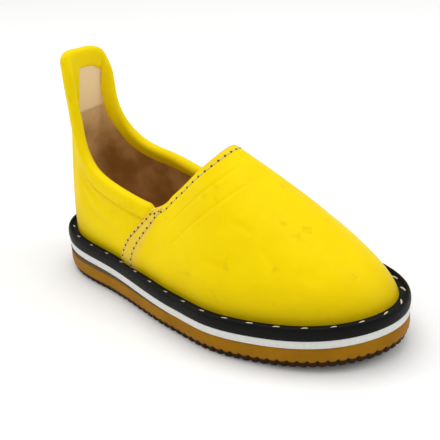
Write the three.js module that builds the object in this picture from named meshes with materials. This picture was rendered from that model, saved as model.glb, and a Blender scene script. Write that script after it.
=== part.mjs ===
// A child's babouche slipper: one hollow leather upper with a tall heel tab, sewn to a welt
// over a foam midsole, a heel wedge and a rubber outsole.
// Millimetres, +Z up, +X towards the toe. The origin is on the floor under the middle of the sole.
// It is a right shoe: the outer side is -Y and the inner side is +Y.
import * as THREE from 'three';

// Driving sizes.
const soleLength = 165;
const outsoleThickness = 8.6; // with its tread
const wedgeThickness = 2.8; // at the back of the heel
const wedgeReach = 0.5; // share of the length where the wedge has thinned to nothing
const wedgeThinnest = 0.5;
const midsoleThickness = 3.1;
const weltThickness = 4.9;
const weltReach = 4.3; // how far the welt stands out from the upper
const insoleThickness = 2;
const wallThickness = 1.8; // leather and lining
const bindingThickness = 1;
const bindingGap = 0.6;
const bindingDepth = 5;
const toeSpring = 4;
const springStart = 0.6; // share of the length where the sole begins to rise
const treadInset = 0.8; // the tread is drawn in under the edge
const treadDepth = 2.4;
const gap = 0.3; // between neighbouring pieces
const around = 120; // steps round the sole, shared by every piece
const rise = 12; // steps from the welt to the top edge of the upper

// Plan of the sole. The angle goes from the middle of the heel, 0, to the toe, 180.
// A side's half width is its column times the sine of the angle, so both ends are round.
// swing is how far the centre line bends to the inner side.
const solePlan = [
  { angle: 0, outer: 49, inner: 49, swing: 0 },
  { angle: 30, outer: 40.2, inner: 41, swing: 0 },
  { angle: 60, outer: 30.9, inner: 31.2, swing: -0.3 },
  { angle: 90, outer: 35.3, inner: 32.5, swing: -0.6 },
  { angle: 105, outer: 39.6, inner: 36.2, swing: -0.3 },
  { angle: 120, outer: 41.1, inner: 39.6, swing: 0 },
  { angle: 150, outer: 44.2, inner: 42, swing: 1 },
  { angle: 180, outer: 43.1, inner: 43.1, swing: 1.6 },
];

// Ribs of the upper, from the welt to the top edge: a row for each, from the heel, 0, to the toe, 180.
// x, out and z place the top end: along from the back of the sole, out from the centre line, and height.
// swell and lift aim the foot of the rib, outwards and upwards. aimX, aimOut and aimZ aim its top end.
const ribPlan = [
  { angle: 0, x: 11, out: 0, z: 96.4, swell: 1.5, lift: 30, aimX: 1.5, aimOut: 0, aimZ: -26 },
  { angle: 9, x: 11.8, out: 9.3, z: 96.6, swell: 1.5, lift: 30, aimX: 0.5, aimOut: -2, aimZ: -22 },
  { angle: 18, x: 14, out: 12, z: 90, swell: 1.5, lift: 30, aimX: -1, aimOut: -4.5, aimZ: -13 },
  { angle: 27, x: 16, out: 12.4, z: 71, swell: 1.5, lift: 24, aimX: -1.5, aimOut: -3.5, aimZ: -10 },
  { angle: 36, x: 20.5, out: 14.8, z: 58, swell: 1.5, lift: 18, aimX: -3, aimOut: -1, aimZ: -9 },
  { angle: 45, x: 29, out: 16.8, z: 49.8, swell: 1.5, lift: 13, aimX: -2, aimOut: 1.5, aimZ: -10 },
  { angle: 57, x: 44.5, out: 18.3, z: 45.3, swell: 2, lift: 11, aimX: 0, aimOut: 3.5, aimZ: -11 },
  { angle: 69, x: 62, out: 17.5, z: 42.3, swell: 2, lift: 10, aimX: 0, aimOut: 6, aimZ: -10 },
  { angle: 90, x: 71.5, out: 15.5, z: 50, swell: 2.5, lift: 11, aimX: 3, aimOut: 8, aimZ: -10 },
  { angle: 120, x: 80.3, out: 11.5, z: 60, swell: 2.5, lift: 12, aimX: 8, aimOut: 11, aimZ: -11 },
  { angle: 150, x: 85.5, out: 6, z: 65.7, swell: 3.5, lift: 13, aimX: 19, aimOut: 7, aimZ: -14 },
  { angle: 180, x: 87, out: 0, z: 67.5, swell: 4.5, lift: 14, aimX: 29, aimOut: 0, aimZ: -20 },
];

// How the top edge differs between the sides: lean moves it to the inner side, and raise lifts that side.
const topEdgePlan = [
  { angle: 0, lean: -0.8, raise: 0 },
  { angle: 9, lean: -0.8, raise: -2.6 },
  { angle: 18, lean: -1, raise: -3.6 },
  { angle: 27, lean: -1, raise: -0.5 },
  { angle: 48, lean: 0, raise: 2.2 },
  { angle: 69, lean: 0, raise: 2.5 },
  { angle: 120, lean: 1.5, raise: 1 },
  { angle: 180, lean: 2, raise: 0 },
];
const cornerAngle = 69; // the rib where the top edge turns up over the foot and the binding ends

/** A row seen in the mirror plane at an angle: the sideways columns change sign. */
function mirrored(row, plane) {
  return { ...row, angle: 2 * plane - row.angle, out: -row.out, aimOut: -row.aimOut };
}

/**
 * A table's row at any angle from 0 to 180: a smooth cubic through the rows.
 * Past both ends the table goes on as its own mirror image.
 */
function rowAt(table, angle) {
  const i = Math.min(table.findLastIndex((row) => row.angle <= angle), table.length - 2);
  const from = table[i];
  const to = table[i + 1];
  const before = table[i - 1] ?? mirrored(to, from.angle);
  const after = table[i + 2] ?? mirrored(from, to.angle);
  const span = to.angle - from.angle;
  const t = (angle - from.angle) / span;
  const row = {};
  for (const name of Object.keys(from)) {
    const slopeFrom = span * (to[name] - before[name]) / (to.angle - before.angle);
    const slopeTo = span * (after[name] - from[name]) / (after.angle - from.angle);
    row[name] = (2 * t ** 3 - 3 * t ** 2 + 1) * from[name] + (t ** 3 - 2 * t ** 2 + t) * slopeFrom
      + (3 * t ** 2 - 2 * t ** 3) * to[name] + (t ** 3 - t ** 2) * slopeTo;
  }
  return row;
}

/** An angle round the sole as its half turn, 0 to 180, and its side: -1 is the outer side. */
function sideOf(angle) {
  const turn = THREE.MathUtils.euclideanModulo(angle, 360);
  return turn <= 180 ? { half: turn, side: -1 } : { half: 360 - turn, side: 1 };
}

/** Point of the sole's outline at an angle round it. */
function outlineAt(angle) {
  const { half, side } = sideOf(angle);
  const row = rowAt(solePlan, half);
  const radians = THREE.MathUtils.degToRad(half);
  const halfWidth = Math.sin(radians) * (side < 0 ? row.outer : row.inner);
  return new THREE.Vector2(soleLength / 2 * (1 - Math.cos(radians)), side * halfWidth + row.swing);
}

/** Level direction out of the sole's outline. */
function outwardAt(angle) {
  const ahead = outlineAt(angle + 1).sub(outlineAt(angle - 1));
  return new THREE.Vector2(ahead.y, -ahead.x).normalize();
}

/** Point of the outline moved in by a margin. */
function edgeAt(angle, inset) {
  return outlineAt(angle).addScaledVector(outwardAt(angle), -inset);
}

// Heights of the layers at a distance along the sole.
const springAt = (x) => toeSpring * Math.max(0, (x / soleLength - springStart) / (1 - springStart)) ** 2;
const outsoleTop = (x) => springAt(x) + outsoleThickness;
const wedgeTop = (x) => outsoleTop(x) + wedgeThickness * Math.max(0, 1 - x / soleLength / wedgeReach);
const midsoleTop = (x) => wedgeTop(x) + gap + midsoleThickness;

/** Point of the upper's outer face: an angle round the shoe, and a share of the rib from welt to top edge. */
function facePoint(angle, share) {
  const { half, side } = sideOf(angle);
  const row = rowAt(ribPlan, half);
  const { lean, raise } = rowAt(topEdgePlan, half);
  const foot = edgeAt(angle, weltReach);
  const outward = outwardAt(angle);
  const start = new THREE.Vector3(foot.x, foot.y, midsoleTop(foot.x) + gap);
  const end = new THREE.Vector3(row.x, side * row.out + lean, row.z + (side > 0 ? raise : 0));
  const startAim = new THREE.Vector3(outward.x * row.swell, outward.y * row.swell, row.lift).add(start);
  const endAim = new THREE.Vector3(row.aimX, side * row.aimOut, row.aimZ).add(end);
  return new THREE.CubicBezierCurve3(start, startAim, endAim, end).getPoint(share);
}

/** Point at a distance outside the upper's outer face; a negative distance goes into the wall. */
function facePointAt(angle, share, outside) {
  const turn = 0.5;
  const step = 0.01;
  const round = facePoint(angle + turn, share).sub(facePoint(angle - turn, share));
  const low = Math.max(0, share - step);
  const high = Math.min(1, share + step);
  const up = facePoint(angle, high).sub(facePoint(angle, low));
  return facePoint(angle, share).addScaledVector(round.cross(up).normalize(), outside);
}

/** A mesh from corner points and triangles, turned so that its faces point out. */
function solid(name, material, points, triangles) {
  const volume = triangles.reduce(
    (sum, [a, b, c]) => sum + points[a].dot(points[b].clone().cross(points[c])), 0);
  const faces = volume < 0 ? triangles.map(([a, b, c]) => [a, c, b]) : triangles;
  const geometry = new THREE.BufferGeometry().setFromPoints(points);
  geometry.setIndex(faces.flat());
  geometry.computeVertexNormals();
  const mesh = new THREE.Mesh(geometry, new THREE.MeshStandardMaterial(material));
  mesh.name = name;
  return mesh;
}

/** Triangles of the skin between equal loops of points, each loop closed on itself. */
function skin(loops, size, closed) {
  const triangles = [];
  const last = closed ? loops : loops - 1;
  for (let j = 0; j < last; j++) {
    for (let i = 0; i < size; i++) {
      const [a, b] = [j * size + i, j * size + (i + 1) % size];
      const [c, d] = [(j + 1) % loops * size + i, (j + 1) % loops * size + (i + 1) % size];
      triangles.push([a, b, d], [a, d, c]);
    }
  }
  return triangles;
}

/** A flat layer of the sole from rings of points, closed below and above by strips across the sole. */
function layer(name, material, rings) {
  const size = rings[0].length;
  const triangles = skin(rings.length, size, false);
  const top = (rings.length - 1) * size;
  for (let i = 0; i < size / 2; i++) {
    const [a, b] = [i, i + 1];
    const [c, d] = [size - i - 1, (size - i) % size];
    for (const [p, q, r] of [[a, b, c], [a, c, d]]) {
      if (new Set([p, q, r]).size < 3) continue;
      triangles.push([p, r, q], [top + p, top + q, top + r]);
    }
  }
  return solid(name, material, rings.flat(), triangles);
}

const angles = Array.from({ length: around }, (_, i) => 360 * i / around);

/** A ring of points round the sole, at an inset from its edge and a height given along it. */
function ring(inset, height, turns = angles) {
  return turns.map((angle) => {
    const point = edgeAt(angle, inset);
    return new THREE.Vector3(point.x, point.y, height(point.x));
  });
}

function makeOutsole() {
  return layer('outsole', { color: '#c8791f', roughness: 0.6 }, [
    ring(treadInset, springAt),
    ring(0, (x) => springAt(x) + treadDepth),
    ring(0, outsoleTop),
  ]);
}

/** The wedge follows the heel's edge and is cut straight across where it gets thin. */
function makeHeelWedge() {
  const front = wedgeReach * (1 - (wedgeThinnest + gap) / wedgeThickness);
  const cut = THREE.MathUtils.radToDeg(Math.acos(1 - 2 * front));
  const steps = Math.round(cut / 360 * around);
  const heelTurns = Array.from({ length: 2 * steps + 1 },
    (_, i) => cut * (i <= steps ? i : i - 2 * steps - 1) / steps);
  return layer('heel_wedge', { color: '#7d7468', roughness: 0.8 }, [
    ring(0, (x) => outsoleTop(x) + gap, heelTurns),
    ring(0, wedgeTop, heelTurns),
  ]);
}

function makeMidsole() {
  return layer('midsole', { color: '#f2f2ee', roughness: 0.7 }, [
    ring(0, (x) => wedgeTop(x) + gap),
    ring(0, midsoleTop),
  ]);
}

/** The insole lies on the midsole, inside the foot of the upper. */
function makeInsole() {
  const inset = weltReach + wallThickness + gap;
  return layer('insole', { color: '#8a5a33', roughness: 0.8 }, [
    ring(inset, (x) => midsoleTop(x) + gap),
    ring(inset, (x) => midsoleTop(x) + gap + insoleThickness),
  ]);
}

/** The welt is a band round the foot of the upper: a bead outside and a shelf for stitches inside. */
function makeWelt() {
  const beadStart = 0.6; // insets from the sole's edge: where the bead's top starts and ends,
  const beadEnd = 1.4;
  const shelfStart = 2.2; // and where it has come down to the shelf
  const chamfer = 0.5; // of the lower edge
  const shelfDrop = 0.7; // from the top of the bead
  const shelfRise = weltThickness - shelfDrop;
  const profile = [ // inset from the sole's edge, and height above the midsole
    [chamfer, 0], [0, chamfer], [0, shelfRise], [beadStart, weltThickness], [beadEnd, weltThickness],
    [shelfStart, shelfRise],
  ];
  const footHeights = [shelfRise, shelfRise / 2, 0]; // where it follows the foot of the upper
  const loops = angles.map((angle) => {
    const outer = profile.map(([inset, height]) => {
      const point = edgeAt(angle, inset);
      return new THREE.Vector3(point.x, point.y, midsoleTop(point.x) + gap + height);
    });
    const outward = outwardAt(angle);
    const inner = footHeights.map((height) => {
      const foot = facePoint(angle, shareAtRise(angle, height));
      return new THREE.Vector3(foot.x + gap * outward.x, foot.y + gap * outward.y, foot.z);
    });
    return [...outer, ...inner];
  });
  return solid('welt', { color: '#17140f', roughness: 0.35 }, loops.flat(),
    skin(around, loops[0].length, true));
}

/** Share of a rib at which it has risen to a height above its foot, found by halving its lower half. */
function shareAtRise(angle, height) {
  const halvings = 30;
  const start = facePoint(angle, 0).z;
  let low = 0;
  let high = 0.5;
  for (let i = 0; i < halvings; i++) {
    const middle = (low + high) / 2;
    if (facePoint(angle, middle).z - start < height) low = middle;
    else high = middle;
  }
  return low;
}

/** Share of a rib where the binding's lower edge lies. */
function bindingShare(angle) {
  return 1 - bindingDepth / facePoint(angle, 0).distanceTo(facePoint(angle, 1));
}

/** The upper is one wall: its outer face, its top edge, its inner face and its foot. */
function makeUpper() {
  const rows = Array.from({ length: rise + 1 }, (_, i) => i);
  const face = (outside) => rows.map((row) => angles.map((angle) => {
    const share = row < rise ? bindingShare(angle) * row / (rise - 1) : 1;
    const point = facePointAt(angle, share, outside);
    point.z = Math.max(point.z, midsoleTop(point.x) + gap);
    return point;
  }));
  const loops = [...face(0), ...face(-wallThickness).reverse()];
  return solid('upper', { color: '#f2dc00', roughness: 0.45 }, loops.flat(2),
    skin(loops.length, around, true));
}

/** The binding folds over the top edge, from the outer corner round the heel tab to the inner corner. */
function makeCollarBinding() {
  const near = bindingGap;
  const far = near + bindingThickness;
  const inside = -wallThickness;
  const steps = 2 * cornerAngle / 360 * around;
  const loops = Array.from({ length: steps + 1 }, (_, i) => {
    const angle = cornerAngle * (2 * i / steps - 1);
    const low = bindingShare(angle);
    const along = facePoint(angle + 1, 1).sub(facePoint(angle - 1, 1));
    const across = facePointAt(angle, 1, 1).sub(facePoint(angle, 1));
    const up = along.cross(across).normalize(); // square to the top edge, within the wall
    if (up.dot(facePoint(angle, 1).sub(facePoint(angle, low))) < 0) up.negate();
    const above = (outside, height) => facePointAt(angle, 1, outside).addScaledVector(up, height);
    // In this order its faces next to the upper are split along the same diagonals as the upper's.
    return [
      facePointAt(angle, low, near), above(near, near), above(inside - near, near),
      facePointAt(angle, low, inside - near), facePointAt(angle, low, inside - far),
      above(inside - far, near), above(inside, far), above(0, far), above(far, near),
      facePointAt(angle, low, far),
    ];
  });
  const size = loops[0].length;
  const triangles = skin(loops.length, size, false);
  const last = (loops.length - 1) * size;
  const end = [[0, 1, 9], [1, 8, 9], [1, 7, 8], [1, 2, 7], [2, 6, 7], [2, 5, 6], [2, 4, 5], [2, 3, 4]];
  for (const [a, b, c] of end) triangles.push([a, c, b], [last + a, last + b, last + c]);
  return solid('collar_binding', { color: '#f2dc00', roughness: 0.45 }, loops.flat(), triangles);
}

const sides = new THREE.Box2().setFromPoints(angles.map(outlineAt));
const middle = sides.getCenter(new THREE.Vector2());
const shoe = new THREE.Group();
shoe.add(
  makeOutsole(), makeHeelWedge(), makeMidsole(), makeWelt(), makeInsole(), makeUpper(), makeCollarBinding());
shoe.position.set(-middle.x, -middle.y, 0);

export default shoe;
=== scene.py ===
# %% [markdown]
# # A child's babouche slipper
# A babouche is a soft slip-on shoe. This one has a round toe, a low open collar and a tall tab at
# the heel for pulling it on. Its upper is one piece of yellow leather over another, sewn to a black
# welt, and under the welt lie a white foam midsole, a thin heel wedge and a ribbed rubber outsole.
# It could be sculpted, but every piece of a shoe is cut to one last, so here every piece is worked
# out from one plan of the sole and one set of ribs, and the pieces then fit by themselves.

import bmesh
import bpy
import numpy as np
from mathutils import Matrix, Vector


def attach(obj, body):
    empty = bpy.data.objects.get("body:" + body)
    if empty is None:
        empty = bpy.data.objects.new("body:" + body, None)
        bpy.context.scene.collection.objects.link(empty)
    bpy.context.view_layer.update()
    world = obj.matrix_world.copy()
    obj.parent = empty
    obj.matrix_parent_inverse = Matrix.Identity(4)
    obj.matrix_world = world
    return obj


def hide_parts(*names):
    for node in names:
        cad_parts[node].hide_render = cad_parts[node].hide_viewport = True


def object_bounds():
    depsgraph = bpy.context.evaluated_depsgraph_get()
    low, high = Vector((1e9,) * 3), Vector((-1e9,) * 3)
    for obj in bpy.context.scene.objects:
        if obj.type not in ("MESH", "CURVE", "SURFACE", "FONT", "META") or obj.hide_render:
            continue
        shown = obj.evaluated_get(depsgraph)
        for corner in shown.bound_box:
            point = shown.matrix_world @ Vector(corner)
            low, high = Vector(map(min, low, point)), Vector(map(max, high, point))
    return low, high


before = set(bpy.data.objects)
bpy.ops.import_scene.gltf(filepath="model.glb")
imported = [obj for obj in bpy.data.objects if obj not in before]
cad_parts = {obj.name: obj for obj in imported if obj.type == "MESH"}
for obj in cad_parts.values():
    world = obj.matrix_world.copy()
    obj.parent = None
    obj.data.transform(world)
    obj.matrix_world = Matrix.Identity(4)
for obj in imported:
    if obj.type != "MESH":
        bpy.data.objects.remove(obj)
cad_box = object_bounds()
print("CAD nodes:", ", ".join(sorted(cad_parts)))

# %% [markdown]
# ## The plan that all pieces share
# The upper is stretched over a last, so its shape is a family of ribs that rise from the welt to
# the top edge, each a cubic curve. The turn says where a rib stands: 0 at the middle of the heel,
# 180 at the toe, with the outer side of the foot first. Lengths are in millimetres from the back
# of the sole until a mesh is made. A table row is a rib, and a smooth cubic fills in between rows.

# %% Sizes of the sole and the wall
SOLE_LENGTH = 165.0
OUTSOLE, WEDGE, MIDSOLE, INSOLE = 8.6, 2.8, 3.1, 2.0  # thicknesses
WEDGE_REACH = 0.5  # share of the length where the wedge has thinned to nothing
WELT_REACH = 4.3  # from the edge of the sole to the foot of the upper
WALL = 1.8  # leather and lining together
PANEL = 1.15  # leather alone, from its outer to its inner face
TOE_SPRING, SPRING_START = 4.0, 0.6
GAP = 0.3  # between neighbouring layers
CORNER = 69.0  # turn of the corner where the binding ends and the vamp begins

# turn, half width on the outer side, half width on the inner side, swing of the centre line
SOLE_PLAN = np.array([
    [0, 49, 49, 0], [30, 40.2, 41, 0], [60, 30.9, 31.2, -0.3], [90, 35.3, 32.5, -0.6],
    [105, 39.6, 36.2, -0.3], [120, 41.1, 39.6, 0], [150, 44.2, 42, 1], [180, 43.1, 43.1, 1.6],
])
# turn, then the top end: x, out, z; then swell and lift at the foot; then the aim of the top end
RIB_PLAN = np.array([
    [0, 11, 0, 96.4, 1.5, 30, 1.5, 0, -26], [9, 11.8, 9.3, 96.6, 1.5, 30, 0.5, -2, -22],
    [18, 14, 12, 90, 1.5, 30, -1, -4.5, -13], [27, 16, 12.4, 71, 1.5, 24, -1.5, -3.5, -10],
    [36, 20.5, 14.8, 58, 1.5, 18, -3, -1, -9], [45, 29, 16.8, 49.8, 1.5, 13, -2, 1.5, -10],
    [57, 44.5, 18.3, 45.3, 2, 11, 0, 3.5, -11], [69, 62, 17.5, 42.3, 2, 10, 0, 6, -10],
    [90, 71.5, 15.5, 50, 2.5, 11, 3, 8, -10], [120, 80.3, 11.5, 60, 2.5, 12, 8, 11, -11],
    [150, 85.5, 6, 65.7, 3.5, 13, 19, 7, -14], [180, 87, 0, 67.5, 4.5, 14, 29, 0, -20],
])
# turn, lean of the top edge to the inner side, lift of the inner side
TOP_EDGE_PLAN = np.array([
    [0, -0.8, 0], [9, -0.8, -2.6], [18, -1, -3.6], [27, -1, -0.5], [48, 0, 2.2], [69, 0, 2.5],
    [120, 1.5, 1], [180, 2, 0],
])
print(f"plan: {len(SOLE_PLAN)} rows for the sole, {len(RIB_PLAN)} ribs for the upper")


# %% Read a table between its rows
def rows_at(table, half, sideways=()):
    """Columns of a table at turns from 0 to 180. Between two rows each column is a cubic that
    leaves and meets them with the slope of the line through their neighbours. Past both ends
    the neighbour is the mirror image, where the sideways columns change sign."""
    first, last = table[1].copy(), table[-2].copy()
    for ghost, end in ((first, table[0]), (last, table[-1])):
        ghost[0] = 2 * end[0] - ghost[0]
        ghost[list(sideways)] *= -1
    rows = np.vstack([first, table, last])
    i = np.clip(np.searchsorted(rows[:, 0], half, side="right") - 1, 1, len(table) - 1)
    before, here, there, after = rows[i - 1], rows[i], rows[i + 1], rows[i + 2]
    span = there[..., :1] - here[..., :1]
    t = (half[..., None] - here[..., :1]) / span
    leave = span * (there - before) / (there[..., :1] - before[..., :1])
    meet = span * (after - here) / (after[..., :1] - here[..., :1])
    return ((2 * t**3 - 3 * t**2 + 1) * here + (t**3 - 2 * t**2 + t) * leave
            + (3 * t**2 - 2 * t**3) * there + (t**3 - t**2) * meet)


def half_turn(turn):
    """A turn as its half, 0 to 180, and its side: -1 is the outer side of the foot."""
    turn = np.mod(turn, 360.0)
    return np.where(turn <= 180, turn, 360 - turn), np.where(turn <= 180, -1.0, 1.0)


# %% Outline of the sole and heights of its layers
def outline(turn):
    """Edge of the sole: x is half the length times one minus the cosine of the turn, and y is
    the side's half width times its sine, plus the swing of the centre line."""
    half, side = half_turn(np.asarray(turn, float))
    row = rows_at(SOLE_PLAN, half)
    across = np.sin(np.radians(half)) * np.where(side < 0, row[..., 1], row[..., 2])
    x = SOLE_LENGTH / 2 * (1 - np.cos(np.radians(half)))
    return np.stack([x, side * across + row[..., 3]], -1)


def outward(turn):
    """Level direction out of the sole: the outline's direction turned by a right angle."""
    ahead = outline(np.asarray(turn) + 1.0) - outline(np.asarray(turn) - 1.0)
    out = np.stack([ahead[..., 1], -ahead[..., 0]], -1)
    return out / np.linalg.norm(out, axis=-1, keepdims=True)


def edge(turn, inset):
    """The outline moved inwards by an inset."""
    return outline(turn) - np.asarray(inset)[..., None] * outward(turn)


def spring(x):
    """Rise of the toe: nothing up to the start, then a parabola."""
    return TOE_SPRING * np.maximum(0, (x / SOLE_LENGTH - SPRING_START) / (1 - SPRING_START))**2


def outsole_top(x):
    """The rubber is equally thick all along, so its top rises with the toe."""
    return spring(x) + OUTSOLE


def wedge_top(x):
    """The wedge thins evenly from the heel to its reach."""
    return outsole_top(x) + WEDGE * np.maximum(0, 1 - x / SOLE_LENGTH / WEDGE_REACH)


def midsole_top(x):
    """The foam is equally thick too, and lies a gap above the wedge."""
    return wedge_top(x) + GAP + MIDSOLE


ROUND = np.linspace(0, 360, 720, endpoint=False)  # turns of the pieces that go all the way round
widths = outline(np.arange(0, 360, 3))[:, 1]
MIDDLE = np.array([SOLE_LENGTH / 2, (widths.min() + widths.max()) / 2, 0])
print(f"sole {SOLE_LENGTH:.0f} x {np.ptp(widths):.1f} mm")


# %% Ribs and face of the upper
def rib(turn, share):
    """Point of the outer face: a cubic Bezier curve from the welt, at share 0, to the top edge,
    at share 1. Its foot is aimed up and a little outwards, its top end along the rib's aim."""
    turn, share = np.broadcast_arrays(np.asarray(turn, float), np.asarray(share, float))
    half, side = half_turn(turn)
    row = rows_at(RIB_PLAN, half, sideways=(2, 7))
    top = rows_at(TOP_EDGE_PLAN, half)
    foot, out = edge(turn, WELT_REACH), outward(turn)
    start = np.stack([foot[..., 0], foot[..., 1], midsole_top(foot[..., 0]) + GAP], -1)
    lift = np.stack([out[..., 0] * row[..., 4], out[..., 1] * row[..., 4], row[..., 5]], -1)
    end = np.stack([row[..., 1], side * row[..., 2] + top[..., 1],
                    row[..., 3] + np.where(side > 0, top[..., 2], 0)], -1)
    aim = np.stack([row[..., 6], side * row[..., 7], row[..., 8]], -1)
    s = share[..., None]
    return ((1 - s)**3 * start + 3 * s * (1 - s)**2 * (start + lift)
            + 3 * s**2 * (1 - s) * (end + aim) + s**3 * end)


def normal(turn, share):
    """Outward normal of the face: the way round crossed with the way up."""
    round_ = rib(turn + 0.5, share) - rib(turn - 0.5, share)
    up = rib(turn, np.minimum(1, share + 0.01)) - rib(turn, np.maximum(0, share - 0.01))
    out = np.cross(round_, up)
    return out / np.linalg.norm(out, axis=-1, keepdims=True)


def face(turn, share, outside=0.0):
    """Point at a distance outside the outer face; a negative distance goes into the wall."""
    turn, share = np.broadcast_arrays(np.asarray(turn, float), np.asarray(share, float))
    return rib(turn, share) + np.asarray(outside)[..., None] * normal(turn, share)


# %% Distance below the top edge
TOP_EDGE = rib(np.linspace(0, 360, 361), np.ones(361))


def below_edge(points, reach=1.0):
    """Distance from each point to the nearest point of the top edge, where the distances are
    first divided by a reach, which may differ along the edge."""
    flat = points.reshape(-1, 3)
    square = ((flat**2).sum(1)[:, None] + (TOP_EDGE**2).sum(1)[None] - 2 * flat @ TOP_EDGE.T)
    return np.sqrt(np.maximum((square / reach**2).min(1), 0)).reshape(points.shape[:-1])


def share_below(turn, depth, reach=1.0):
    """Share of each rib at a depth below the top edge: the depths of 81 points of the rib are
    worked out, and the share is read off between the two that the depth falls between."""
    turn, depth = np.broadcast_arrays(np.asarray(turn, float), np.asarray(depth, float))
    shares = np.linspace(1, 0.3, 81)  # nothing that is asked for lies below 0.3
    found = np.maximum.accumulate(below_edge(rib(turn[:, None], shares[None]), reach), axis=1)
    found[:, 0] = 0
    i = np.clip((found < depth[:, None]).sum(1), 1, len(shares) - 1)
    rows = np.arange(len(turn))
    low, high = found[rows, i - 1], found[rows, i]
    t = np.clip((depth - low) / np.maximum(high - low, 1e-9), 0, 1)
    return shares[i - 1] + t * (shares[i] - shares[i - 1])


print(f"top edge {np.linalg.norm(np.diff(TOP_EDGE, axis=0), axis=1).sum():.0f} mm round")

# %% [markdown]
# ## From points to pieces
# A grid of points becomes a mesh by joining neighbours with four-sided faces. A grid may close on
# itself either way. Points that fall together at a pole or along a centre line are merged, and
# the sign of the enclosed volume says whether the faces have to be turned to point outwards.

# %% Make a mesh from grids of points
MERGE = 2e-6  # in metres: points nearer than this become one


def smooth_step(value, low, high):
    """Goes from 0 at low to 1 at high along a cubic with level ends."""
    t = np.clip((value - low) / (high - low), 0, 1)
    return t * t * (3 - 2 * t)


def make_piece(name, grid, slot=None, replaces=(), closed=(False, True), **values):
    """Mesh piece from points of shape (rows, columns, 3), or (copies, rows, columns, 3) for a
    shape that is repeated. Each named value is a number for every point, kept as an attribute."""
    grid = grid if grid.ndim == 4 else grid[None]
    copies, rows, columns = grid.shape[:3]
    ids = np.arange(copies * rows * columns).reshape(copies, rows, columns)
    if closed[0]:
        ids = np.concatenate([ids, ids[:, :1]], 1)
    if closed[1]:
        ids = np.concatenate([ids, ids[:, :, :1]], 2)
    quads = np.stack([ids[:, :-1, :-1], ids[:, 1:, :-1], ids[:, 1:, 1:], ids[:, :-1, 1:]], -1)
    quads = quads.reshape(-1, 4)
    points = (grid.reshape(-1, 3) - MIDDLE) / 1000
    a, b, c, d = (points[quads[:, k]] for k in range(4))
    if (np.cross(b - a, c - a) * a + np.cross(c - a, d - a) * a).sum() < 0:
        quads = quads[:, ::-1]
    mesh = bpy.data.meshes.new(name)
    mesh.from_pydata(points.tolist(), [], quads.tolist())
    for key, value in values.items():
        attribute = mesh.attributes.new(key, "FLOAT", "POINT")
        spread = np.broadcast_to(value, grid.shape[:3]).astype(np.float32)
        attribute.data.foreach_set("value", np.ascontiguousarray(spread).ravel())
    work = bmesh.new()
    work.from_mesh(mesh)
    bmesh.ops.remove_doubles(work, verts=work.verts, dist=MERGE)
    work.to_mesh(mesh)
    work.free()
    mesh.shade_smooth()
    piece = bpy.data.objects.new(name, mesh)
    bpy.context.scene.collection.objects.link(piece)
    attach(piece, "root")
    if replaces:
        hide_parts(*replaces)
    mesh.calc_loop_triangles()
    print(f"{name}: {len(mesh.loop_triangles):,} triangles")
    return piece


def curve_through(points, steps):
    """Smooth curve through points: between two of them it is a Catmull-Rom cubic."""
    points = np.asarray(points, float)
    padded = np.vstack([2 * points[0] - points[1], points, 2 * points[-1] - points[-2]])
    place = np.linspace(0, len(points) - 1, steps)
    i = np.minimum(place.astype(int), len(points) - 2)
    t = (place - i)[:, None]
    p, q, r, s = (padded[i + k] for k in range(4))
    return 0.5 * (2 * q + (r - p) * t + (2 * p - 5 * q + 4 * r - s) * t**2
                  + (3 * q - p - 3 * r + s) * t**3)


# %% [markdown]
# ## Camera, floor and light
# The shoe is seen from its outer side and from above, over the toe. The camera keeps that place
# and turns to the middle of the shoe by the shortest way, so the shoe keeps its slant in the
# frame. The studio is plain: a pale floor, white light from all round, one wide lamp overhead
# and three weaker ones that reach under the collar.

# %% Camera
lowest, highest = cad_box
middle_height = (lowest.z + highest.z) / 2
eye = Vector((0.215, -0.257, 0.200))
first_aim = Vector((-0.476, 0.780, -0.405))  # before the turn to the shoe
aim = Vector((0.004, -0.004, middle_height - 0.011)) - eye
camera = bpy.data.objects.new("camera", bpy.data.cameras.new("camera"))
camera.location = eye
camera.rotation_mode = "QUATERNION"
camera.rotation_quaternion = (first_aim.rotation_difference(aim)
                              @ first_aim.to_track_quat("-Z", "Y"))
camera.data.lens = 75
camera.data.sensor_width = 36
camera.data.clip_start = 0.01
bpy.context.scene.collection.objects.link(camera)
bpy.context.scene.camera = camera
print(f"camera {eye.length:.3f} m from the middle of the shoe, {camera.data.lens:.0f} mm lens")


# %% Colours and nodes
def linear(code, alpha=1.0):
    """An sRGB hex colour as the linear values that shaders work in."""
    parts = [int(code.lstrip("#")[k:k + 2], 16) / 255 for k in (0, 2, 4)]
    return (*(c / 12.92 if c <= 0.04045 else ((c + 0.055) / 1.055)**2.4 for c in parts), alpha)


def new_material(name, **sockets):
    """A material with one Principled shader, whose even values are set on its own sockets."""
    material = bpy.data.materials.new(name)
    material.use_nodes = True
    shader = material.node_tree.nodes["Principled BSDF"]
    for key, value in sockets.items():
        shader.inputs[key.replace("_", " ")].default_value = value
    return material, shader


def add_node(material, kind, inputs=None, **settings):
    """Adds a node. An input is a value, or the socket of another node to link from."""
    node = material.node_tree.nodes.new("ShaderNode" + kind)
    for key, value in settings.items():
        setattr(node, key, value)
    for key, value in (inputs or {}).items():
        if isinstance(value, bpy.types.NodeSocket):
            material.node_tree.links.new(value, node.inputs[key])
        else:
            node.inputs[key].default_value = value
    return node


def link(material, source, socket):
    """Joins an output to an input."""
    material.node_tree.links.new(source, socket)


def finish_pieces(material, *pieces):
    """Gives the pieces one material."""
    for piece in pieces:
        piece.data.materials.clear()
        piece.data.materials.append(material)
    print(f"{material.name}: {', '.join(piece.name for piece in pieces)}")


MM = 1000.0  # a pattern that repeats every millimetre has this scale, as positions are in metres

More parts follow.
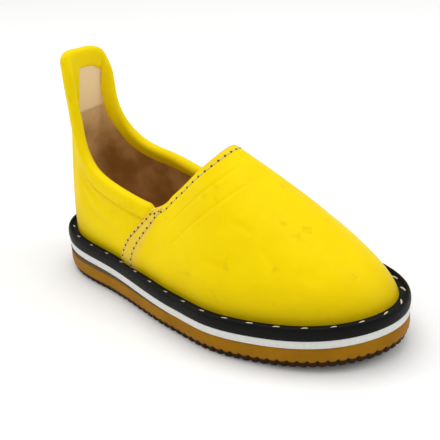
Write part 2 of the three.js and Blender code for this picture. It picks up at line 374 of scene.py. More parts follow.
# %% Floor
floor_mesh = bpy.data.meshes.new("floor")
floor_mesh.from_pydata([(-3, -3, 0), (3, -3, 0), (3, 3, 0), (-3, 3, 0)], [], [(0, 1, 2, 3)])
floor = bpy.data.objects.new("floor", floor_mesh)
bpy.context.scene.collection.objects.link(floor)
paper, shader = new_material("white_paper", Roughness=0.9, Specular_IOR_Level=0.1)
shader.inputs["Base Color"].default_value = linear("#f6f6f5")
finish_pieces(paper, floor)

# %% Light
world = bpy.data.worlds.new("studio")
world.use_nodes = True
world.node_tree.nodes["Background"].inputs["Color"].default_value = linear("#ffffff")
world.node_tree.nodes["Background"].inputs["Strength"].default_value = 0.52
bpy.context.scene.world = world
LIT_POINT = Vector((0, 0, 0.03))


def add_lamp(name, place, size, watts):
    """A square lamp that faces a point in the shoe."""
    lamp = bpy.data.objects.new(name, bpy.data.lights.new(name, "AREA"))
    lamp.data.size, lamp.data.energy = size, watts
    lamp.location = place
    lamp.rotation_mode = "QUATERNION"
    lamp.rotation_quaternion = (LIT_POINT - Vector(place)).to_track_quat("-Z", "Y")
    bpy.context.scene.collection.objects.link(lamp)


add_lamp("overhead_lamp", (-0.12, 0.12, 1.05), 1.0, 6.4)
add_lamp("left_lamp", (-0.75, -0.4, 0.55), 0.6, 2.0)
add_lamp("right_lamp", (0.75, 0.45, 0.7), 0.6, 2.6)
add_lamp("front_lamp", (0.35, -0.8, 0.45), 0.6, 0.7)
# The plain transform keeps the strong yellow, which the film-like one would wash out.
bpy.context.scene.view_settings.view_transform = "Standard"
print("white surroundings, 4 lamps")

# %% [markdown]
# ## Layers of the sole
# A layer is cut from a sheet to the outline of the sole, so it is a profile carried round the
# outline, closed above and below by strips that run across to the centre line. Foam and rubber
# are cut and then buffed, which rounds their edges a little.


# %% Carry a profile round the sole
def towards_middle(ring, share=1.0):
    """A ring moved a share of the way to its centre line, where both sides fall together."""
    across = np.roll(ring[::-1], 1, 0)  # the point opposite each point, as turn 0 comes first
    return ring + share * ((ring + across) / 2 - ring)


def layer(profile, bottom, top):
    """Grid of a sole layer. A profile row is an inset from the edge and a share of the way from
    the bottom to the top, both of which are heights along x. The first and last row are drawn
    in to the centre line, so the layer is closed."""
    rings = []
    for inset, share in profile:
        flat = edge(ROUND, np.broadcast_to(inset, ROUND.shape))
        height = bottom(flat[:, 0]) * (1 - share) + top(flat[:, 0]) * share
        rings.append(np.column_stack([flat, height]))
    return np.stack([towards_middle(rings[0]), *rings, towards_middle(rings[-1])])


# %% Midsole
EDGE_PROFILE = [(0.4, 0), (0.12, 0.04), (0, 0.14), (-0.05, 0.5), (0, 0.86), (0.12, 0.96), (0.4, 1)]

# the foam is soft, so it fills most of the gaps to the wedge and to the welt
midsole_grid = layer(EDGE_PROFILE, lambda x: wedge_top(x) + 0.1, lambda x: midsole_top(x) + 0.2)
midsole = make_piece("midsole_foam", midsole_grid, "white_foam", ["midsole"])

# %% Heel wedge
LEAST = 0.05  # thickness of its front, and gap to the rubber
heel_turns = np.linspace(-90, 90, 361)
fade = np.minimum(1, (90 - np.abs(heel_turns)) / 4)  # the last 4 degrees thin to nothing
wedge_rings = []
for inset, share in EDGE_PROFILE:
    place = edge(heel_turns, inset * fade)
    under = outsole_top(place[:, 0]) + LEAST
    thick = np.maximum(LEAST, wedge_top(place[:, 0]) - under) * fade
    wedge_rings.append(np.column_stack([place, under + share * thick]))
wedge_ends = [(ring + ring[::-1]) / 2 for ring in (wedge_rings[0], wedge_rings[-1])]
wedge_grid = np.stack([wedge_ends[0], *wedge_rings, wedge_ends[1]])
wedge = make_piece("heel_wedge_foam", wedge_grid, "wedge_foam", ["heel_wedge"],
                   closed=(False, False))

# %% [markdown]
# ## Rubber outsole
# The outsole is a moulded sheet of honey-coloured rubber. Its tread is a field of ribs that end
# in scallops along the edge, drawn in a little under the wall. The scallops could be a texture,
# but they break the outline against the floor, so they are cut into the mesh: the height and the
# inset of the lower rings follow a wave along the edge.

# %% Outsole with scalloped tread
TREAD_PITCH = 3.8  # from one scallop to the next
TREAD_DEPTH = 2.4
TREAD_INSET = 0.8  # how far it is drawn in under the wall
TREAD_FIELD = 16  # rings between the edge and the centre line
RIB_HEIGHT, ZIGZAG, ZIGZAG_WIDTH = 1.3, 2.2, 9  # of the ribs that run across the sole

sole_turns = np.linspace(0, 360, 1080, endpoint=False)
flat = outline(sole_turns)
step = np.linalg.norm(np.roll(flat, -1, 0) - flat, axis=1)
along = np.concatenate([[0], np.cumsum(step)[:-1]])
scallops = round(step.sum() / TREAD_PITCH)
lobe = np.abs(np.sin(np.pi * scallops * along / step.sum()))  # 0 in a notch, 1 on a scallop
strength = 0.3 + 0.7 * smooth_step(flat[:, 0], 30, 80)  # worn flatter under the heel
notch = strength * (1 - lobe)**1.6


def sole_ring(inset, height):
    """Ring of the outsole at an inset, with a height above the toe spring."""
    place = edge(sole_turns, np.broadcast_to(inset, sole_turns.shape))
    return np.column_stack([place, spring(place[:, 0]) + height])


# from the buffed upper rim down the wall to the scallops, which the notch cuts deeper and deeper
wall = [
    sole_ring(0.4, OUTSOLE), sole_ring(0.1, OUTSOLE - 0.25), sole_ring(0, OUTSOLE - 0.9),
    sole_ring(-0.1, 5.0), sole_ring(0.15 * notch, TREAD_DEPTH + 1.3 + 0.2 * notch),
    sole_ring(0.05 + 0.4 * notch, TREAD_DEPTH + 0.7 + 0.5 * notch),
    sole_ring(0.3 + 0.5 * notch, TREAD_DEPTH + 0.35 + 0.7 * notch),
    sole_ring(TREAD_INSET + 0.5 * notch, TREAD_DEPTH - 0.1 + 0.6 * notch),
    sole_ring(TREAD_INSET + 0.2 + 0.8 * notch, 0.5 + 0.3 * notch),
    sole_ring(TREAD_INSET + 0.6 + 0.8 * notch, 0.0 + 0.3 * notch),
]
shares = np.linspace(0, 1, TREAD_FIELD + 1)[1:]
field = np.stack([towards_middle(wall[-1], share) for share in shares])
zigzag = ZIGZAG * np.abs((field[:, :, 1] / ZIGZAG_WIDTH) % 2 - 1)
groove = 0.5 - 0.5 * np.cos(2 * np.pi * (field[:, :, 0] + zigzag) / TREAD_PITCH)
rise = smooth_step(shares, 0, 0.15)[:, None]
field[:, :, 2] = spring(field[:, :, 0]) + RIB_HEIGHT * groove**2 * rise
outsole_grid = np.stack([towards_middle(wall[0]), *wall, *field])
# how dark each ring is: honey to the scallops, then dark brown inwards, dirt and painted shade
dirt_and_shade = np.concatenate([np.zeros(5), [0.0, 0.1, 0.5, 1, 1, 1], np.ones(TREAD_FIELD)])
outsole = make_piece("outsole_rubber", outsole_grid, "honey_rubber", ["outsole"],
                     tread=dirt_and_shade[:, None])

# %% [markdown]
# ## Welt and its stitches
# The welt is a strip of black leather round the foot of the upper. Its outer edge is rolled to a
# bead and the inner part is a shelf that the thick off-white thread goes through. It is a profile
# carried round the sole. Its stitches are short rounded bars that dip into the shelf at their ends.

# %% Welt
# inset from the edge, and height: up the outer side, over the bead, the groove and the shelf
welt_profile = curve_through([
    (0.8, -0.5), (0.1, -0.35), (-0.25, 1.2), (-0.15, 3.4), (0.3, 4.55), (0.85, 4.95), (1.4, 4.5),
    (1.75, 3.8), (2.2, 3.5), (3.0, 3.7), (4.7, 3.9),
], 34)
welt_profile = np.vstack([welt_profile, [(4.7, -0.5)]])  # down the inner end
welt_rings = []
for inset, height in welt_profile:
    place = edge(ROUND, np.full(len(ROUND), inset))
    welt_rings.append(np.column_stack([place, midsole_top(place[:, 0]) + GAP + height]))
welt = make_piece("welt_leather", np.stack(welt_rings), "black_welt", ["welt"],
                  closed=(True, True))


# %% Rounded bars for thread
def spaced(points, normals, pitch, start=0.5):
    """Places at an even pitch along a line of points: centre, direction and normal of each. The
    first is a share, the start, of the pitch along. The values between points are linear."""
    travel = np.concatenate([[0], np.cumsum(np.linalg.norm(np.diff(points, axis=0), axis=1))])
    count = int(round(travel[-1] / pitch))
    stops = (np.arange(count) + start) * travel[-1] / count

    def read(values, at):
        """Values in between, at distances travelled along the line."""
        return np.stack([np.interp(at, travel, values[:, k]) for k in range(3)], -1)

    near = 0.4  # the direction is the line between two points this far ahead and behind
    ahead = read(points, np.minimum(stops + near, travel[-1])) - read(points, stops - near)
    up = read(normals, stops)
    return (read(points, stops), ahead / np.linalg.norm(ahead, axis=1, keepdims=True),
            up / np.linalg.norm(up, axis=1, keepdims=True))


def bars(centres, along, up, length, width, height, dip=0.0, rings=6, sides=8):
    """Rounded bars. Each is a circle carried along its length, narrowed to a point at both ends
    as the root of a sine, flattened to its height, and bent down at the ends by the dip."""
    u = np.linspace(0, np.pi, rings)
    v = np.linspace(0, 2 * np.pi, sides, endpoint=False)
    reach = -np.cos(u) * length / 2
    narrow = np.sqrt(np.clip(np.sin(u), 0, 1))
    across = np.cross(along, up)
    offset = (reach[None, :, None, None] * along[:, None, None]
              + (narrow[:, None] * np.cos(v) * width / 2)[None, :, :, None] * across[:, None, None]
              + ((narrow[:, None] * np.sin(v) * height / 2 - dip * np.cos(u)[:, None]**2)
                 [None, :, :, None] * up[:, None, None]))
    return centres[:, None, None] + offset


# %% Stitches of the welt
STITCH_PITCH = 10.5
STITCH_INSET, STITCH_HEIGHT, PULLED_IN = 2.5, 3.85, 0.45
STITCH_SLANT = 0.42  # the thread crosses from the bead side towards the upper
shelf = edge(ROUND, np.full(len(ROUND), STITCH_INSET))
pulled = smooth_step(ROUND, 8, 25) * smooth_step(-ROUND, -125, -85)  # deeper at the outer waist
height = midsole_top(shelf[:, 0]) + GAP + STITCH_HEIGHT - PULLED_IN * pulled
shelf = np.column_stack([shelf, height])
shelf = np.vstack([shelf, shelf[:1]])
upright = np.tile([0.0, 0.0, 1.0], (len(shelf), 1))
centres, ahead, up = spaced(shelf, upright, STITCH_PITCH)
ahead = ahead - STITCH_SLANT * np.cross(ahead, up)
ahead /= np.linalg.norm(ahead, axis=1, keepdims=True)
welt_stitches = make_piece("welt_stitches", bars(
    centres, ahead, up, length=4.3, width=0.7, height=0.75, dip=0.45, rings=9, sides=10))

# %% [markdown]
# ## Insole
# The insole is a sheet of thin tan leather on the midsole, inside the foot of the upper. The heel
# of a foot presses a shallow hollow into it, so it is the same kind of layer with its upper
# strips split finely and lowered towards the centre line.

# %% Insole
SOLE_HOLLOW, HEEL_HOLLOW = 0.7, 0.5
insole_turns = np.linspace(0, 360, 480, endpoint=False)
rim = edge(insole_turns, np.full(len(insole_turns), WELT_REACH + WALL + GAP))
rim = np.column_stack([rim, midsole_top(rim[:, 0]) + GAP])
rings = [towards_middle(rim), rim]
for share in (0.0, 0.12, 0.25, 0.4, 0.55, 0.7, 0.85, 1.0):
    inner = towards_middle(rim, share)
    at_heel = smooth_step(-inner[:, 0], -70, -20)
    hollow = SOLE_HOLLOW * smooth_step(share, 0, 0.6) + HEEL_HOLLOW * at_heel * share
    rings.append(inner + np.outer(INSOLE - hollow, [0, 0, 1]))
insole = make_piece("insole_leather", np.stack(rings), "insole_leather", ["insole"])

# %% [markdown]
# ## Quarters, vamp and lining
# The upper is sewn from two leather panels over one lining. The quarters go round the heel and
# rise into the tab; the vamp covers the toe and overlaps them, so its back edge stands up by the
# thickness of the leather and shows the raw tan cut. Each panel is a closed shell: its outer face,
# its cut edge and its inner face are rows of one grid. The small folds where the leather was pulled
# over the last are soft troughs, each laid along a short line with a width and a depth.

# %% Folds of the leather
# side, start (x, z), end (x, z), width, depth: folds of the quarters and the vamp
FOLDS = [
    (-1, (19, 47), (33, 37), 1.6, 0.5), (-1, (20, 41), (31, 31), 1.5, 0.45),
    (-1, (33, 39), (55, 33), 1.8, 0.4), (-1, (30, 31), (46, 27), 1.6, 0.3),
    (1, (22, 45), (35, 35), 1.6, 0.5), (1, (30, 37), (52, 32), 1.8, 0.4),
    (-1, (70, 26), (96, 24), 4.0, 0.35), (-1, (112, 24), (134, 27), 3.5, 0.3),
    (1, (74, 25), (104, 25), 4.0, 0.35), (1, (118, 26), (138, 29), 3.5, 0.25),
    (-1, (103, 47), (112, 44), 1.1, 0.3), (-1, (117, 40), (124, 35), 1.1, 0.3),
    (-1, (131, 34), (140, 31), 1.3, 0.25), (-1, (97, 33), (106, 33), 1.4, 0.25),
    (1, (100, 46), (110, 44), 1.1, 0.3), (1, (122, 41), (132, 38), 1.3, 0.25),
]


def folds(points):
    """Depth of the folds at each point: a bell curve of the distance from the fold's line, seen
    from the side, which fades out at both ends."""
    x, y, z = points[..., 0], points[..., 1] - MIDDLE[1], points[..., 2]
    depth = np.zeros(x.shape)
    for side, start, end, width, deep in FOLDS:
        line = np.subtract(end, start)
        length = np.hypot(*line)
        t = ((x - start[0]) * line[0] + (z - start[1]) * line[1]) / length**2
        off = ((x - start[0]) * line[1] - (z - start[1]) * line[0]) / length
        fade = smooth_step(t, -0.3, 0.3) * smooth_step(-t, -1.3, -0.7)
        depth += deep * np.exp(-(off / width)**2) * fade * smooth_step(side * y, 2, 8)
    return depth


def shell(turns, shares, outer, inner):
    """Closed grid of a panel: up the outer face, over the top edge, down the inner face. Outer
    and inner are distances outside the last's face. No point goes below the panel's foot."""
    def rows(offset, order):
        """One face, from its foot up or, in the other order, down again."""
        points = face(turns, shares[:, None], np.broadcast_to(offset, turns.shape))
        foot = midsole_top(points[..., 0]) + GAP
        points[..., 2] = np.maximum(points[..., 2], foot)
        return points[order]
    return np.concatenate([rows(outer, slice(None)), rows(inner, slice(None, None, -1))])


def close_ends(grid):
    """Adds a row at both ends of a panel where its outer and inner face fall together."""
    first, last = ((row + row[::-1]) / 2 for row in (grid[0], grid[-1]))
    return np.concatenate([first[None], grid, last[None]])


def shade_near_welt(shares):
    """How near each column of a panel is to the welt, from 1 down to 0 at 0.4 of the rib. It paints
    shade on the leather near the welt.
    """
    value = 1 - smooth_step(shares, 0, 0.4)
    return np.concatenate([value, value[::-1]])


SEAM_BOW, BOW_REACH, SEAM_FORWARD = 5.2, 0.6, 1.0


def vamp_edge(shares):
    """Turn of the vamp's back edge at a share of the rib. From the corner it bows back towards
    the heel, along a parabola that is level at its reach, and comes forward a little at the
    welt."""
    down = np.clip((1 - shares) / BOW_REACH, 0, 1)
    return CORNER - SEAM_BOW * (1 - (1 - down)**2) + SEAM_FORWARD * smooth_step(1 - shares, 0.7, 1)


# %% Quarters
BINDING_DEPTH = 5.0
UNDER_VAMP = 7  # how far the quarters run on under the vamp, as a turn
quarter_shares = np.concatenate([np.linspace(0, 0.97, 110), [0.985]])
quarter_turns = np.linspace(-1, 1, 420) * (vamp_edge(quarter_shares) + UNDER_VAMP)[:, None]
past_edge = np.abs(quarter_turns) - vamp_edge(quarter_shares)[:, None]
quarter_face = rib(quarter_turns, quarter_shares[:, None])
# a crease 0.5 mm deep just below the binding, and a thinned edge under the vamp
crease = 0.5 * np.exp(-((below_edge(quarter_face) - BINDING_DEPTH - 0.6) / 0.8)**2)
quarter_outer = -folds(quarter_face) - crease - 0.25 * smooth_step(past_edge, -1, 2)
quarter_grid = np.moveaxis(shell(quarter_turns, quarter_shares, quarter_outer, -PANEL), 0, 1)
# low is painted shade: the leather is drawn darker towards the welt
quarters = make_piece("quarter_leather", close_ends(quarter_grid), "yellow_leather", ["upper"],
                      closed=(False, True), cut=0.0, low=shade_near_welt(quarter_shares))

# %% Vamp
VAMP_STEP = 1.0  # how far the vamp's back edge stands over the quarters
STEP_FADE = (2, 15)  # turns from the back edge where its step begins and ends to fade
PRESSED_LINES = (9.5, 17.5)  # distances from the throat
PRESSED_DEPTH = 0.22
RUBBED = 0.22  # how much of the raw colour shows on the stitched band
vamp_shares = np.concatenate([np.linspace(0, 0.985, 148), [0.993, 1.0]])
back = vamp_edge(vamp_shares)[:, None]
across = np.linspace(-1, 1, 301)
across = np.sort(np.append(across * 0.994, [-1, -0.9975, 0.9975, 1]))
vamp_turns = 180 + across * (180 - back)
from_edge = (180 - back) * (1 - np.abs(across))
stand = VAMP_STEP * (1 - smooth_step(from_edge, *STEP_FADE))
stand[:, [0, -1]] -= 0.3  # the outer corner of the cut is rubbed round
vamp_face = rib(vamp_turns, vamp_shares[:, None])
from_throat = below_edge(vamp_face)
window = smooth_step(vamp_turns, 87, 92) * smooth_step(-vamp_turns, -175, -170)
lines = sum(np.exp(-((from_throat - line) / 0.5)**2) for line in PRESSED_LINES)
vamp_outer = stand - folds(vamp_face) - lines * PRESSED_DEPTH * window
vamp_outer[-1] -= 0.25  # the edge of the throat is rubbed round too
vamp_grid = shell(vamp_turns, vamp_shares, vamp_outer, np.minimum(stand - PANEL, -0.3))
raw = np.zeros(vamp_grid.shape[:2])
count = len(vamp_shares)
raw[:count] = RUBBED * (1 - smooth_step(from_edge, 6.5, 9.5))  # as wide as both side rows
raw[count - 1:count + 2] = 1  # the cut along the throat
raw[:, [0, -1]] = 1  # the cut at both ends
raw = np.column_stack([raw[:, 0], raw, raw[:, -1]])
# low is painted shade: the leather is drawn darker towards the welt
vamp = make_piece("vamp_leather", close_ends(np.moveaxis(vamp_grid, 0, 1)), "yellow_leather",
                  ["upper"], closed=(False, True), cut=raw.T[None], low=shade_near_welt(vamp_shares))

# %% Lining
SEAM_HEIGHT = 71.0  # the tab's own strip of lining ends here
STRIP_THICK = 0.3  # how far the strip stands over the lining
lining_shares = np.linspace(0, 0.99, 90)
lining_turns = np.linspace(0, 360, 480, endpoint=False)
inner_face = rib(lining_turns[None], lining_shares[:, None])
strip = smooth_step(inner_face[..., 2], SEAM_HEIGHT - 0.4, SEAM_HEIGHT + 0.4)
fade_to_strip = smooth_step(inner_face[..., 2], SEAM_HEIGHT - 18, SEAM_HEIGHT)  # paler towards the strip over the 18 mm below it
strip = (0.6 * strip + 0.4 * fade_to_strip) * (np.cos(np.radians(lining_turns)) > 0)[None]
# it is not stretched as the leather is, so it hangs in soft ripples between welt and top edge
ripple = 0.35 + 0.35 * np.sin(inner_face[..., 0] / 7.0 + 0.8 * np.sin(inner_face[..., 2] / 6.0))
loose = smooth_step(lining_shares, 0.05, 0.25) * smooth_step(-lining_shares, -0.9, -0.5)
lining_inner = -WALL - STRIP_THICK * strip - ripple * loose[:, None]
all_turns = np.broadcast_to(lining_turns, (len(lining_shares), len(lining_turns)))
lining_grid = shell(all_turns, lining_shares, -1.0, lining_inner)
lining = make_piece("lining_leather", lining_grid, "insole_leather", closed=(True, True),
                    strip=np.concatenate([strip, strip[::-1]]))

# %% [markdown]
# ## Collar binding
# A strip of the same leather is folded over the raw top edge from one corner of the vamp round
# the tab to the other. It is padded by its own fold, so it is a soft roll about five millimetres
# deep. Inside the tab it is turned in deeper and frames the lining. It is one closed profile
# carried along the edge: a point is a depth below the edge and an offset out of the face.

# %% How deep the binding is turned in, by the turn of the top edge
TAB_TOP, TAB_OUTER_SIDE, TAB_INNER_SIDE, ALONG_COLLAR = 6.4, 8.6, 3.6, 4.7
edge_turns = np.arange(361)
from_heel = np.minimum(edge_turns, 360 - edge_turns)
down_side = np.where(edge_turns < 180, TAB_OUTER_SIDE, TAB_INNER_SIDE)
turned_in = np.where(from_heel <= 10, TAB_TOP, down_side)
turned_in = turned_in + (ALONG_COLLAR - turned_in) * smooth_step(from_heel, 26, 44)
print(f"binding turned in {turned_in.min()} to {turned_in.max()} mm")

# %% Profile and frame of the binding
binding_turns = np.linspace(-CORNER - 3, CORNER + 3, 300)
steps = np.ones(len(binding_turns))  # makes one value into a value for every turn
sunk = smooth_step(np.abs(binding_turns), CORNER - 3, CORNER + 1)  # it ends under the vamp
# Outside and inside, a point is a share of the binding's depth and an offset out of the face.
# Over the edge it is a depth in millimetres, negative above the edge, and an offset.
outer_leg = [(1.02, -0.3), (1.05, 0.2), (1.0, 0.7), (0.9, 1.05), (0.6, 1.35), (0.3, 1.55),
             (0.1, 1.6)]
crest = [(-0.5, 1.4), (-1.2, 0.75), (-1.65, -0.3), (-1.75, -0.9), (-1.65, -1.6), (-1.2, -2.6),
         (-0.5, -3.2)]
inner_leg = [(0.1, -3.3), (0.3, -3.2), (0.55, -3.0), (0.8, -2.85), (0.96, -2.65), (1.0, -2.35),
             (1.0, -1.9)]
# the way up at the edge is square to it and within the wall, on the side that the ribs run to
top_along = rib(binding_turns + 1, steps) - rib(binding_turns - 1, steps)
top_up = np.cross(top_along, normal(binding_turns, steps))
rib_end = rib(binding_turns, steps) - rib(binding_turns, 0.96 * steps)
top_up *= np.sign((top_up * rib_end).sum(1))[:, None]
top_up /= np.linalg.norm(top_up, axis=1, keepdims=True)
bound = rib(binding_turns, steps)
print(f"binding {np.linalg.norm(np.diff(bound, axis=0), axis=1).sum():.0f} mm long")


def sink(offset):
    """An offset that shrinks towards the middle of the wall where the binding ends."""
    return offset * (1 - sunk) + (0.3 * offset - 0.4) * sunk


# %% Binding
binding_rows = [face(binding_turns, share_below(binding_turns, share * BINDING_DEPTH * steps),
                     sink(offset)) for share, offset in outer_leg]
binding_rows += [face(binding_turns, steps, sink(offset))
                 - top_up * (depth * (1 - sunk) + 0.3 * sunk)[:, None] for depth, offset in crest]
binding_rows += [face(binding_turns, share_below(binding_turns, share * steps, turned_in),
                      sink(offset)) for share, offset in inner_leg]
# two rows inside the wall, just below the edge, close the profile
binding_rows += [face(binding_turns, 0.98 * steps, offset * steps) for offset in (-1.4, -0.5)]
binding_grid = np.stack(binding_rows, 1)
tips = binding_grid[[0, -1]].mean(1, keepdims=True).repeat(len(binding_rows), 1)
binding = make_piece("binding_leather", np.concatenate([tips[:1], binding_grid, tips[1:]]),
                     "yellow_binding", ["collar_binding"], closed=(False, True), cut=0.0, low=0.0)

# %% [markdown]
# ## Seams of the vamp
# One row of stitches follows the throat, and two rows hold the vamp to the quarters. What the eye
# sees is a beige thread that sinks into a small dark needle hole at each end. Thread and holes are
# separate small shapes set at an even pitch along a line, turned to the leather's own normal. A
# hole is not cut: its dark brown is painted shade inside the hole, over its pierced edge.

# %% Stitches and needle holes
THREAD_WIDTH, THREAD_HEIGHT, THREAD_DIP = 0.9, 0.5, 0.14
HOLE_WIDTH, HOLE_HEIGHT = 0.95, 0.3


def seam(turns, shares, outside, pitch):
    """Thread bars and needle holes along a line on the vamp. A bar is 0.8 of the pitch long, and
    a hole lies halfway between two bars."""
    line = face(turns, shares, outside)
    out = normal(turns, shares)
    thread = bars(*spaced(line, out, pitch), pitch * 0.8, THREAD_WIDTH, THREAD_HEIGHT, THREAD_DIP)
    holes = bars(*spaced(line, out, pitch, start=0.0), HOLE_WIDTH, HOLE_WIDTH, HOLE_HEIGHT)
    return thread, holes


def on_vamp(turns, shares):
    """Just outside the vamp's outer face: its step over the quarters, and 0.02 mm."""
    from_back = np.minimum(turns, 360 - turns) - vamp_edge(shares)
    return VAMP_STEP * (1 - smooth_step(from_back, *STEP_FADE)) + 0.02


# %% Rows of stitches
THROAT_ROW, THROAT_PITCH = 2.5, 3.3  # distance from the throat, and from stitch to stitch
SIDE_ROWS, SIDE_PITCH = (1.2, 6.8), 2.8  # distances from the vamp's back edge
throat_turns = np.linspace(CORNER + 2.5, 360 - CORNER - 2.5, 300)
throat_shares = share_below(throat_turns, np.full(len(throat_turns), THROAT_ROW))
seams = [seam(throat_turns, throat_shares, on_vamp(throat_turns, throat_shares), THROAT_PITCH)]
side_shares = np.linspace(0.06, 0.985, 120)
for side in (-1, 1):
    start = 180 + side * (180 - vamp_edge(side_shares))
    degree = rib(start + 0.5, side_shares) - rib(start - 0.5, side_shares)
    degree = np.linalg.norm(degree, axis=1)  # millimetres along the face in one degree
    for distance in SIDE_ROWS:
        turns = start - side * distance / degree
        seams.append(seam(turns, side_shares, on_vamp(turns, side_shares), SIDE_PITCH))
vamp_thread = make_piece("vamp_stitches", np.concatenate([s[0] for s in seams]))
needle_holes = make_piece("needle_holes", np.concatenate([s[1] for s in seams]))

# %% [markdown]
# ## Yellow leather
# The upper is chrome-tanned cowhide, coated with a pigment finish and polished a little. It gives
# the eye an even strong yellow, a soft wide gloss, faint clouds in the colour and a few scuffs
# that rub grey-green. Near the welt it is darker, by painted shade. The grain is
# about half a millimetre, which is too fine to show, so it is drawn at nearly one.

# %% Leather material
leather, shader = new_material("pigmented_cowhide", Roughness=0.45, IOR=1.48,
                               Specular_IOR_Level=0.06)
place = add_node(leather, "TexCoord").outputs["Object"]
clouds = add_node(leather, "TexNoise", {"Vector": place, "Scale": MM / 14, "Detail": 3.0})
tone = add_node(leather, "Mix", {0: clouds.outputs["Fac"], 6: linear("#f8dd00"),
                                 7: linear("#ecca00")}, data_type="RGBA")
marks = add_node(leather, "TexNoise", {"Vector": place, "Scale": MM / 8, "Detail": 3.5,
                                       "Roughness": 0.6})
rubbed = add_node(leather, "MapRange", {"Value": marks.outputs["Fac"], "From Min": 0.62,
                                        "From Max": 0.8, "To Max": 0.45})
scuffed = add_node(leather, "Mix", {0: rubbed.outputs["Result"], 6: tone.outputs[2],
                                    7: linear("#b39400")}, data_type="RGBA")
# painted shade: the leather's colour is drawn darker towards the welt, by the low attribute
low = add_node(leather, "Attribute", attribute_name="low")
painted_welt_shade = add_node(leather, "Math", {0: low.outputs["Fac"], 1: 0.85}, operation="MULTIPLY")
coat_with_welt_shade = add_node(leather, "Mix", {0: painted_welt_shade.outputs["Value"], 6: scuffed.outputs[2],
                                   7: linear("#b89a00")}, data_type="RGBA")
cut = add_node(leather, "Attribute", attribute_name="cut")
cowhide = add_node(leather, "Mix", {0: cut.outputs["Fac"], 6: coat_with_welt_shade.outputs[2],
                                    7: linear("#d9a878")}, data_type="RGBA")
link(leather, cowhide.outputs[2], shader.inputs["Base Color"])
grain = add_node(leather, "TexVoronoi", {"Vector": place, "Scale": MM / 0.9},
                 feature="SMOOTH_F1")
pores = add_node(leather, "Bump", {"Height": grain.outputs["Distance"], "Strength": 0.12,
                                   "Distance": 0.0002})
soft = add_node(leather, "TexNoise", {"Vector": place, "Scale": MM / 9, "Detail": 2.0})
dents = add_node(leather, "Bump", {"Height": soft.outputs["Fac"], "Strength": 0.35,
                                   "Distance": 0.0008, "Normal": pores.outputs["Normal"]})
link(leather, dents.outputs["Normal"], shader.inputs["Normal"])
finish_pieces(leather, quarters, vamp, binding)

# %% [markdown]
# ## Lining and insole leather
# The lining is undyed sheepskin: matt, warm beige where it is clean and browner where feet rub it.
# The short strip inside the tab is a paler skin.

# %% Lining material
skin, shader = new_material("undyed_sheepskin", Roughness=0.85, IOR=1.45, Specular_IOR_Level=0.2)
place = add_node(skin, "TexCoord").outputs["Object"]
stain = add_node(skin, "TexNoise", {"Vector": place, "Scale": MM / 16, "Detail": 4.0})
worn = add_node(skin, "MapRange", {"Value": stain.outputs["Fac"], "From Min": 0.38,
                                   "From Max": 0.62})
tan = add_node(skin, "Mix", {0: worn.outputs["Result"], 6: linear("#d6ab72"),
                             7: linear("#a97c42")}, data_type="RGBA")
pale = add_node(skin, "Attribute", attribute_name="strip")
skin_tone = add_node(skin, "Mix", {0: pale.outputs["Fac"], 6: tan.outputs[2],
                                   7: linear("#f0d2a2")}, data_type="RGBA")
link(skin, skin_tone.outputs[2], shader.inputs["Base Color"])
nap = add_node(skin, "TexNoise", {"Vector": place, "Scale": MM / 1.2, "Detail": 3.0})
bump = add_node(skin, "Bump", {"Height": nap.outputs["Fac"], "Strength": 0.3, "Distance": 0.0003})
link(skin, bump.outputs["Normal"], shader.inputs["Normal"])
finish_pieces(skin, lining, insole)
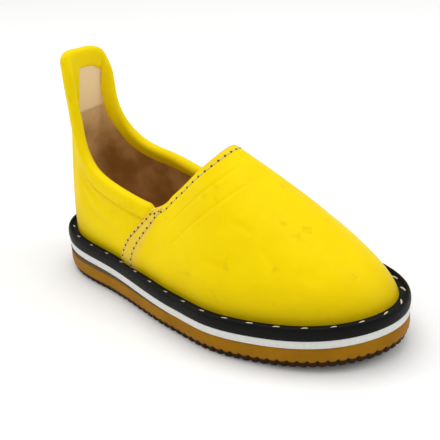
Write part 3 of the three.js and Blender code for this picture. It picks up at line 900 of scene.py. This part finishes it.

# %% [markdown]
# ## Rubber, foam and welt
# The outsole is natural crepe-like rubber, moulded and buffed: honey brown, satin, and dark brown
# in the tread, which is partly dirt and partly painted shade. The midsole is closed-cell foam with
# a fine matt skin. The wedge is a rubber and cork board, cut and left raw. The welt is leather dyed
# black and waxed, with a soft gloss. The welt's thread is waxed linen, the vamp's is cotton.

# %% Rubber material
rubber, shader = new_material("moulded_honey_rubber", Roughness=0.55, IOR=1.52,
                              Specular_IOR_Level=0.08)
place = add_node(rubber, "TexCoord").outputs["Object"]
cloud = add_node(rubber, "TexNoise", {"Vector": place, "Scale": MM / 10, "Detail": 4.0})
honey = add_node(rubber, "Mix", {0: cloud.outputs["Fac"], 6: linear("#aa7604"),
                                 7: linear("#865800")}, data_type="RGBA")
tread = add_node(rubber, "Attribute", attribute_name="tread")
# the tread's dark brown is partly dirt and partly painted shade of the gap under the sole
rubber_tone = add_node(rubber, "Mix", {0: tread.outputs["Fac"], 6: honey.outputs[2],
                                       7: linear("#33200a")}, data_type="RGBA")
link(rubber, rubber_tone.outputs[2], shader.inputs["Base Color"])
buffed = add_node(rubber, "TexNoise", {"Vector": place, "Scale": MM / 0.8, "Detail": 2.0})
bump = add_node(rubber, "Bump", {"Height": buffed.outputs["Fac"], "Strength": 0.25,
                                 "Distance": 0.0002})
link(rubber, bump.outputs["Normal"], shader.inputs["Normal"])
finish_pieces(rubber, outsole)


# %% Foam, wedge board, welt and thread materials
def speckled(name, light, dark, size, strength, distance, **sockets):
    """A material of two near tones in a fine noise, which also roughens the surface."""
    material, shader = new_material(name, **sockets)
    place = add_node(material, "TexCoord").outputs["Object"]
    noise = add_node(material, "TexNoise", {"Vector": place, "Scale": MM / size, "Detail": 3.0})
    tones = add_node(material, "Mix", {0: noise.outputs["Fac"], 6: linear(light),
                                       7: linear(dark)}, data_type="RGBA")
    link(material, tones.outputs[2], shader.inputs["Base Color"])
    bump = add_node(material, "Bump", {"Height": noise.outputs["Fac"], "Strength": strength,
                                       "Distance": distance})
    link(material, bump.outputs["Normal"], shader.inputs["Normal"])
    return material


foam = speckled("closed_cell_foam", "#e6e6e2", "#d0d0cb", 1.0, 0.2, 0.0002, Roughness=0.8,
                Specular_IOR_Level=0.2)
board = speckled("rubber_cork_board", "#6a5848", "#3e3026", 0.9, 0.4, 0.0003, Roughness=0.85,
                 Specular_IOR_Level=0.2)
waxed = speckled("waxed_black_leather", "#0b0a09", "#040404", 1.6, 0.5, 0.0004, Roughness=0.5,
                 Specular_IOR_Level=0.12)
cord = speckled("waxed_linen_thread", "#ece4d2", "#cdbf9f", 0.6, 0.5, 0.0002, Roughness=0.7,
                Specular_IOR_Level=0.3)
cotton = speckled("beige_cotton_thread", "#e2cf7c", "#cdb458", 0.6, 0.5, 0.0001, Roughness=0.7,
                  Specular_IOR_Level=0.3)
# the needle holes' dark brown is painted shade inside each hole, over the pierced edge
needle_hole_shade = speckled("needle_hole_edge_and_shade", "#6e4a14", "#4a300a", 0.6, 0.3, 0.0001, Roughness=0.9,
                   Specular_IOR_Level=0.1)
for material, piece in ((foam, midsole), (board, wedge), (waxed, welt), (cord, welt_stitches),
                        (cotton, vamp_thread), (needle_hole_shade, needle_holes)):
    finish_pieces(material, piece)
